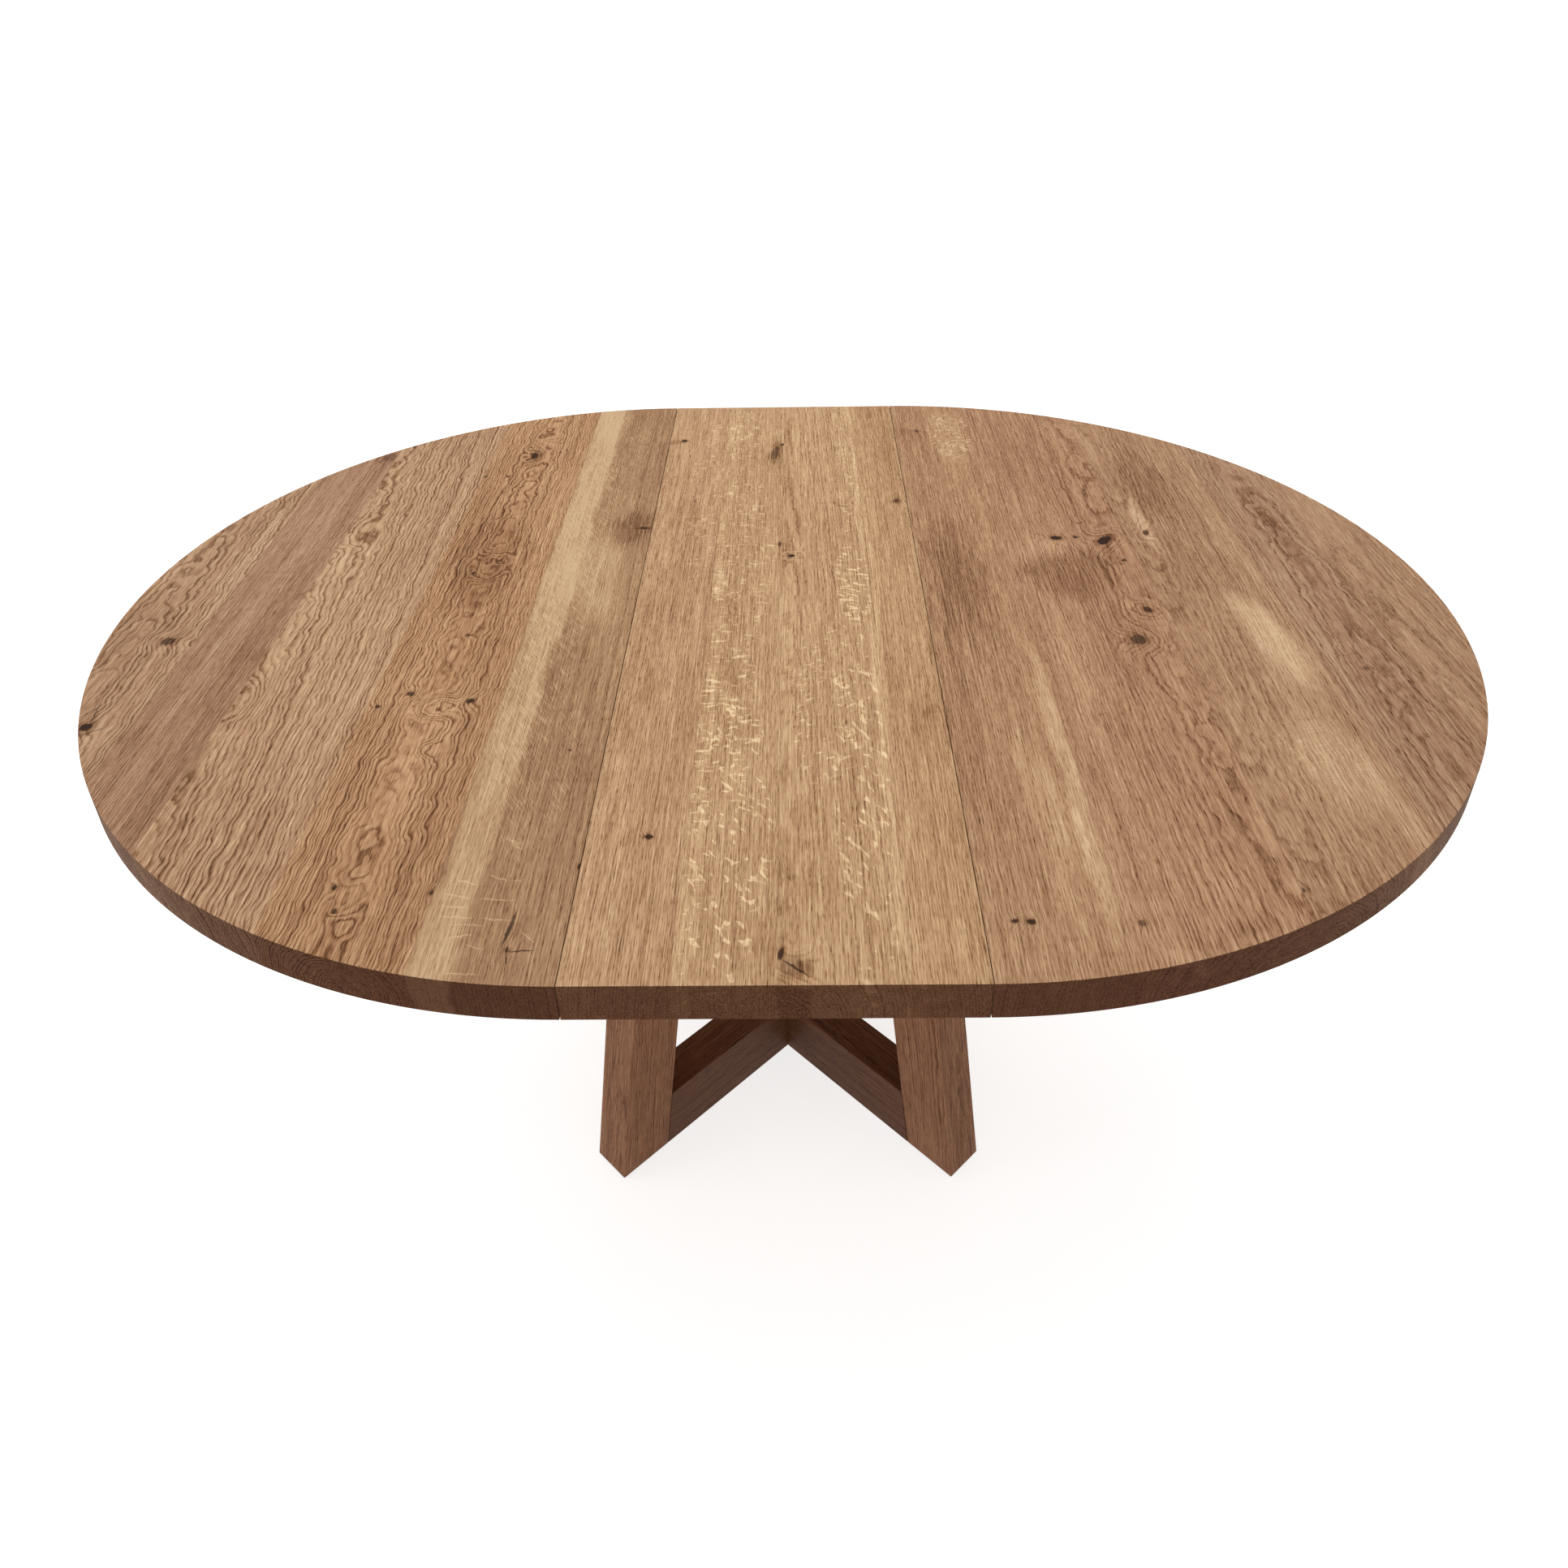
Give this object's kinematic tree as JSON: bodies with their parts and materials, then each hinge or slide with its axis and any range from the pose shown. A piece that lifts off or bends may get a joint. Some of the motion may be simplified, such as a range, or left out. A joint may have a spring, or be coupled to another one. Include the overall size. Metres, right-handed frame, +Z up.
{
  "type": "extension dining table",
  "caption": "Round solid oak pedestal dining table drawn apart to take one loose leaf, on a crossed base of four leaning legs joined by lapped rails.",
  "frame": {"origin": "on the floor, under the centre of the top", "axes": "+X across the leaf, the way the halves draw apart; +Y along the boards; +Z up"},
  "size_m": [1.54, 1.2, 0.75],
  "materials": {
    "oak_top": "oiled solid oak, warm honey brown, satin",
    "oak_base": "oiled solid oak in shade brown, satin",
    "oak_batten": "sanded solid oak, thin oil",
    "beech": "planed beech, waxed",
    "nylon": "natural nylon, matt",
    "steel": "zinc plated",
    "black_steel": "black powder coat, fine texture",
    "felt": "dense dark wool felt"
  },
  "bodies": {
    "base": {"bottom_rail_a": "oak_base", "bottom_rail_b": "oak_base", "fixed_runner_back": "beech", "fixed_runner_front": "beech", "foot_pad_back_left": "felt", "foot_pad_back_right": "felt", "foot_pad_front_left": "felt", "foot_pad_front_right": "felt", "leg_back_left": "oak_base", "leg_back_right": "oak_base", "leg_front_left": "oak_base", "leg_front_right": "oak_base", "mounting_plate": "black_steel", "pinion_axle": "steel", "top_rail_a": "oak_base", "top_rail_b": "oak_base"},
    "left_half": {"left_batten_back": "oak_batten", "left_batten_front": "oak_batten", "left_board_1": "oak_top", "left_board_2": "oak_top", "left_board_3": "oak_top", "left_board_4": "oak_top", "left_board_5": "oak_top", "left_latch_pivot_back": "steel", "left_latch_pivot_front": "steel", "left_rack": "nylon", "left_rest_plate_back": "steel", "left_rest_plate_front": "steel", "left_slide_back": "beech", "left_slide_front": "beech"},
    "right_half": {"right_batten_back": "oak_batten", "right_batten_front": "oak_batten", "right_board_1": "oak_top", "right_board_2": "oak_top", "right_board_3": "oak_top", "right_board_4": "oak_top", "right_board_5": "oak_top", "right_latch_pivot_back": "steel", "right_latch_pivot_front": "steel", "right_rack": "nylon", "right_rest_plate_back": "steel", "right_rest_plate_front": "steel", "right_slide_back": "beech", "right_slide_front": "beech"},
    "leaf": {"leaf_batten_back": "oak_batten", "leaf_batten_front": "oak_batten", "leaf_board_1": "oak_top", "leaf_board_2": "oak_top", "leaf_board_3": "oak_top", "leaf_board_4": "oak_top", "left_latch_keeper_back": "steel", "left_latch_keeper_front": "steel", "right_latch_keeper_back": "steel", "right_latch_keeper_front": "steel"},
    "pinion": {"equaliser_pinion": "nylon"},
    "left_latch_back": {"left_latch_lever_back": "steel"},
    "left_latch_front": {"left_latch_lever_front": "steel"},
    "right_latch_back": {"right_latch_lever_back": "steel"},
    "right_latch_front": {"right_latch_lever_front": "steel"}
  },
  "joints": [
    {"name": "left_half_slide", "type": "slide", "parent": "base", "child": "left_half", "axis": [-1, 0, 0], "range_m": [0, 0.08]},
    {"name": "right_half_slide", "type": "slide", "parent": "base", "child": "right_half", "axis": [1, 0, 0], "range_m": [0, 0.08]},
    {"name": "leaf_lift", "type": "slide", "parent": "base", "child": "leaf", "axis": [0, 0, 1], "range_m": [0, 0.15]},
    {"name": "pinion_spin", "type": "hinge", "parent": "base", "child": "pinion", "pos_m": [0, 0, 0.682], "axis": [0, 0, 1], "range_deg": [0, 230]},
    {"name": "left_latch_front_swing", "type": "hinge", "parent": "left_half", "child": "left_latch_front", "pos_m": [-0.192, -0.25, 0.701], "axis": [0, 0, 1], "range_deg": [0, 90]},
    {"name": "left_latch_back_swing", "type": "hinge", "parent": "left_half", "child": "left_latch_back", "pos_m": [-0.192, 0.25, 0.701], "axis": [0, 0, -1], "range_deg": [0, 90]},
    {"name": "right_latch_front_swing", "type": "hinge", "parent": "right_half", "child": "right_latch_front", "pos_m": [0.192, -0.25, 0.701], "axis": [0, 0, -1], "range_deg": [0, 90]},
    {"name": "right_latch_back_swing", "type": "hinge", "parent": "right_half", "child": "right_latch_back", "pos_m": [0.192, 0.25, 0.701], "axis": [0, 0, 1], "range_deg": [0, 90]}
  ],
  "couplings": [
    {"joint": "right_half_slide", "follows": "left_half_slide", "ratio": 1},
    {"joint": "pinion_spin", "follows": "left_half_slide", "rad_per_m": 50}
  ]
}
